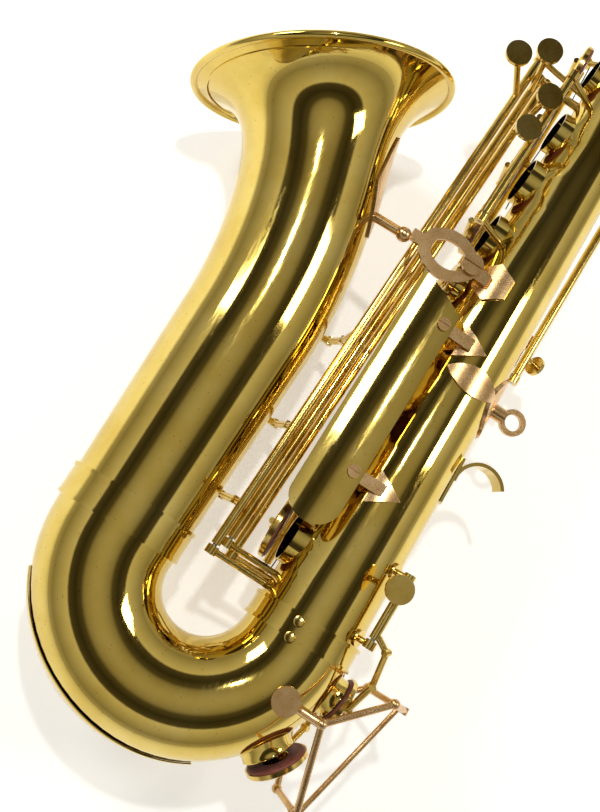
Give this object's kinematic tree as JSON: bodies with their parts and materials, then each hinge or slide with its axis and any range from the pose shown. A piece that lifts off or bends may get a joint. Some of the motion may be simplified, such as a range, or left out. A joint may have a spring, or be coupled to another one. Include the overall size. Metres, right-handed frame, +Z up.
{
  "type": "baritone saxophone",
  "caption": "Lacquered brass baritone saxophone with open-stack keywork, bow and bell, curled upper crook, swivel neck and mouthpiece.",
  "frame": {"origin": "centre of the strap ring", "axes": "+Z up along the body tube, +X towards the player, so the bell is on -X; -Y is the side of the player's left hand"},
  "size_m": [0.3309, 0.173, 0.9502],
  "materials": {
    "lacquered_brass": "clear lacquer over polished brass, scuffed",
    "key_brass": "lacquered, worn at the touches",
    "worn_brass": "lacquer gone, dull rosy brass",
    "steel": "bright rod",
    "leather_pad": "waxed kid leather",
    "cork": "natural cork",
    "ebonite": "polished black hard rubber",
    "black_plastic": "satin",
    "cane": "bare cane"
  },
  "bodies": {
    "body": {"body_tube": "lacquered_brass", "ferrules": "key_brass", "bow": "lacquered_brass", "bow_guard": "lacquered_brass", "bell": "lacquered_brass", "bell_brace": "worn_brass", "brace_screw": "worn_brass", "cover_plate": "lacquered_brass", "cover_feet": "key_brass", "cover_screws": "worn_brass", "strap_ring_bridge": "worn_brass", "thumb_hook": "lacquered_brass", "thumb_rest": "black_plastic", "posts": "key_brass", "hinge_rods": "steel", "bow_key_guard": "worn_brass", "upper_crook": "lacquered_brass", "neck_receiver": "lacquered_brass"},
    "low_d_key": {"low_d_key": "key_brass", "low_d_pad": "leather_pad"},
    "e_key": {"e_key": "key_brass", "e_pad": "leather_pad"},
    "f_key": {"f_key": "key_brass", "f_pad": "leather_pad"},
    "f_sharp_key": {"f_sharp_key": "key_brass", "f_sharp_pad": "leather_pad"},
    "g_sharp_key": {"g_sharp_key": "key_brass", "g_sharp_pad": "leather_pad"},
    "g_key": {"g_key": "key_brass", "g_pad": "leather_pad"},
    "a_key": {"a_key": "key_brass", "a_pad": "leather_pad"},
    "b_key": {"b_key": "key_brass", "b_pad": "leather_pad"},
    "c_key": {"c_key": "key_brass", "c_pad": "leather_pad"},
    "low_cs_key": {"low_cs_key": "key_brass", "low_cs_pad": "leather_pad"},
    "low_b_key": {"low_b_key": "key_brass", "low_b_pad": "leather_pad"},
    "low_bb_key": {"low_bb_key": "key_brass", "low_bb_pad": "leather_pad"},
    "low_eb_key": {"low_eb_key": "key_brass", "low_eb_pad": "leather_pad"},
    "low_c_key": {"low_c_key": "key_brass", "low_c_pad": "leather_pad"},
    "g_sharp_lever": {"g_sharp_lever": "key_brass"},
    "side_bb_key": {"side_bb_key": "key_brass"},
    "side_c_key": {"side_c_key": "key_brass"},
    "palm_d_key": {"palm_d_key": "key_brass"},
    "palm_eb_key": {"palm_eb_key": "key_brass"},
    "palm_f_key": {"palm_f_key": "key_brass"},
    "octave_lever": {"octave_lever": "key_brass"},
    "neck": {"neck_tube": "lacquered_brass", "neck_cork": "cork"},
    "neck_octave_key": {"neck_octave_key": "key_brass"},
    "mouthpiece": {"mouthpiece": "ebonite", "ligature": "key_brass", "reed": "cane"},
    "receiver_screw": {"receiver_screw": "worn_brass"}
  },
  "joints": [
    {"name": "low_d_key_turn", "type": "hinge", "parent": "body", "child": "low_d_key", "pos_m": [-0.085, 0.03, -0.139], "axis": [0, 0, 1], "range_deg": [0, 12], "stiffness_Nm_per_rad": 0.08},
    {"name": "e_key_turn", "type": "hinge", "parent": "body", "child": "e_key", "pos_m": [-0.085, 0.03, -0.09], "axis": [0, 0, 1], "range_deg": [0, 12], "stiffness_Nm_per_rad": 0.08},
    {"name": "f_key_turn", "type": "hinge", "parent": "body", "child": "f_key", "pos_m": [-0.085, 0.03, -0.041], "axis": [0, 0, 1], "range_deg": [0, 12], "stiffness_Nm_per_rad": 0.08},
    {"name": "f_sharp_key_turn", "type": "hinge", "parent": "body", "child": "f_sharp_key", "pos_m": [-0.085, 0.03, 0.007], "axis": [0, 0, 1], "range_deg": [0, 12], "stiffness_Nm_per_rad": 0.08},
    {"name": "g_sharp_key_turn", "type": "hinge", "parent": "body", "child": "g_sharp_key", "pos_m": [-0.079, 0.027, 0.056], "axis": [0, 0, 1], "range_deg": [-12, 0], "stiffness_Nm_per_rad": 0.08},
    {"name": "g_key_turn", "type": "hinge", "parent": "body", "child": "g_key", "pos_m": [-0.079, 0.027, 0.0975], "axis": [0, 0, 1], "range_deg": [0, 12], "stiffness_Nm_per_rad": 0.08},
    {"name": "a_key_turn", "type": "hinge", "parent": "body", "child": "a_key", "pos_m": [-0.079, 0.027, 0.144], "axis": [0, 0, 1], "range_deg": [0, 12], "stiffness_Nm_per_rad": 0.08},
    {"name": "b_key_turn", "type": "hinge", "parent": "body", "child": "b_key", "pos_m": [-0.079, 0.027, 0.186], "axis": [0, 0, 1], "range_deg": [0, 12], "stiffness_Nm_per_rad": 0.08},
    {"name": "c_key_turn", "type": "hinge", "parent": "body", "child": "c_key", "pos_m": [-0.079, 0.027, 0.236], "axis": [0, 0, 1], "range_deg": [0, 12], "stiffness_Nm_per_rad": 0.08},
    {"name": "low_cs_key_turn", "type": "hinge", "parent": "body", "child": "low_cs_key", "pos_m": [-0.11, 0.004, -0.1656], "axis": [0.0294, 0, 0.9996], "range_deg": [-6, 0], "stiffness_Nm_per_rad": 0.15},
    {"name": "low_b_key_turn", "type": "hinge", "parent": "body", "child": "low_b_key", "pos_m": [-0.117, -0.004, -0.1612], "axis": [0.0301, 0, 0.9995], "range_deg": [0, 6], "stiffness_Nm_per_rad": 0.15},
    {"name": "low_bb_key_turn", "type": "hinge", "parent": "body", "child": "low_bb_key", "pos_m": [-0.124, -0.012, -0.17], "axis": [0.0287, 0, 0.9996], "range_deg": [0, 6], "stiffness_Nm_per_rad": 0.15},
    {"name": "low_eb_key_turn", "type": "hinge", "parent": "body", "child": "low_eb_key", "pos_m": [-0.014, -0.028, -0.156], "axis": [0, 0, 1], "range_deg": [-9, 0], "stiffness_Nm_per_rad": 0.08},
    {"name": "low_c_key_turn", "type": "hinge", "parent": "body", "child": "low_c_key", "pos_m": [-0.014, 0.028, -0.126], "axis": [0, 0, 1], "range_deg": [-9, 0], "stiffness_Nm_per_rad": 0.08},
    {"name": "g_sharp_lever_turn", "type": "hinge", "parent": "body", "child": "g_sharp_lever", "pos_m": [-0.094, -0.036, 0.094], "axis": [0.0185, 0, 0.9998], "range_deg": [0, 10], "stiffness_Nm_per_rad": 0.08},
    {"name": "side_bb_key_turn", "type": "hinge", "parent": "body", "child": "side_bb_key", "pos_m": [-0.00874, 0.02088, 0.036], "axis": [0, 0, 1], "range_deg": [-9, 0], "stiffness_Nm_per_rad": 0.08},
    {"name": "side_c_key_turn", "type": "hinge", "parent": "body", "child": "side_c_key", "pos_m": [-0.01832, 0.03297, 0.04], "axis": [0, 0, 1], "range_deg": [-9, 0], "stiffness_Nm_per_rad": 0.08},
    {"name": "palm_d_key_turn", "type": "hinge", "parent": "body", "child": "palm_d_key", "pos_m": [-0.04919, -0.03402, 0.36], "axis": [0, 0, 1], "range_deg": [-9, 0], "stiffness_Nm_per_rad": 0.08},
    {"name": "palm_eb_key_turn", "type": "hinge", "parent": "body", "child": "palm_eb_key", "pos_m": [-0.05817, -0.03129, 0.404], "axis": [0, 0, 1], "range_deg": [-9, 0], "stiffness_Nm_per_rad": 0.08},
    {"name": "palm_f_key_turn", "type": "hinge", "parent": "body", "child": "palm_f_key", "pos_m": [-0.06576, -0.02633, 0.448], "axis": [0, 0, 1], "range_deg": [-9, 0], "stiffness_Nm_per_rad": 0.08},
    {"name": "octave_lever_turn", "type": "hinge", "parent": "body", "child": "octave_lever", "pos_m": [-0.018, -0.026, 0.282], "axis": [0, 0, 1], "range_deg": [0, 8], "stiffness_Nm_per_rad": 0.08},
    {"name": "neck_swivel", "type": "hinge", "parent": "body", "child": "neck", "pos_m": [-0.168, 0, 0.572], "axis": [0, 0, 1], "range_deg": [-20, 20]},
    {"name": "neck_octave_key_turn", "type": "hinge", "parent": "neck", "child": "neck_octave_key", "pos_m": [-0.13059, 0, 0.62986], "axis": [0, 1, 0], "range_deg": [-5, 0], "stiffness_Nm_per_rad": 0.15},
    {"name": "mouthpiece_slide", "type": "slide", "parent": "neck", "child": "mouthpiece", "axis": [0.9848, 0, 0.1736], "range_m": [0, 0.01]},
    {"name": "receiver_screw_turn", "type": "hinge", "parent": "body", "child": "receiver_screw", "pos_m": [-0.188, 0, 0.5635], "axis": [0, 1, 0], "continuous": true}
  ],
  "couplings": [
    {"joint": "f_sharp_key_turn", "follows": "f_key_turn", "ratio": 1},
    {"joint": "c_key_turn", "follows": "b_key_turn", "ratio": 1},
    {"joint": "g_sharp_key_turn", "follows": "g_sharp_lever_turn", "ratio": -1.2},
    {"joint": "neck_octave_key_turn", "follows": "octave_lever_turn", "ratio": -0.625}
  ]
}
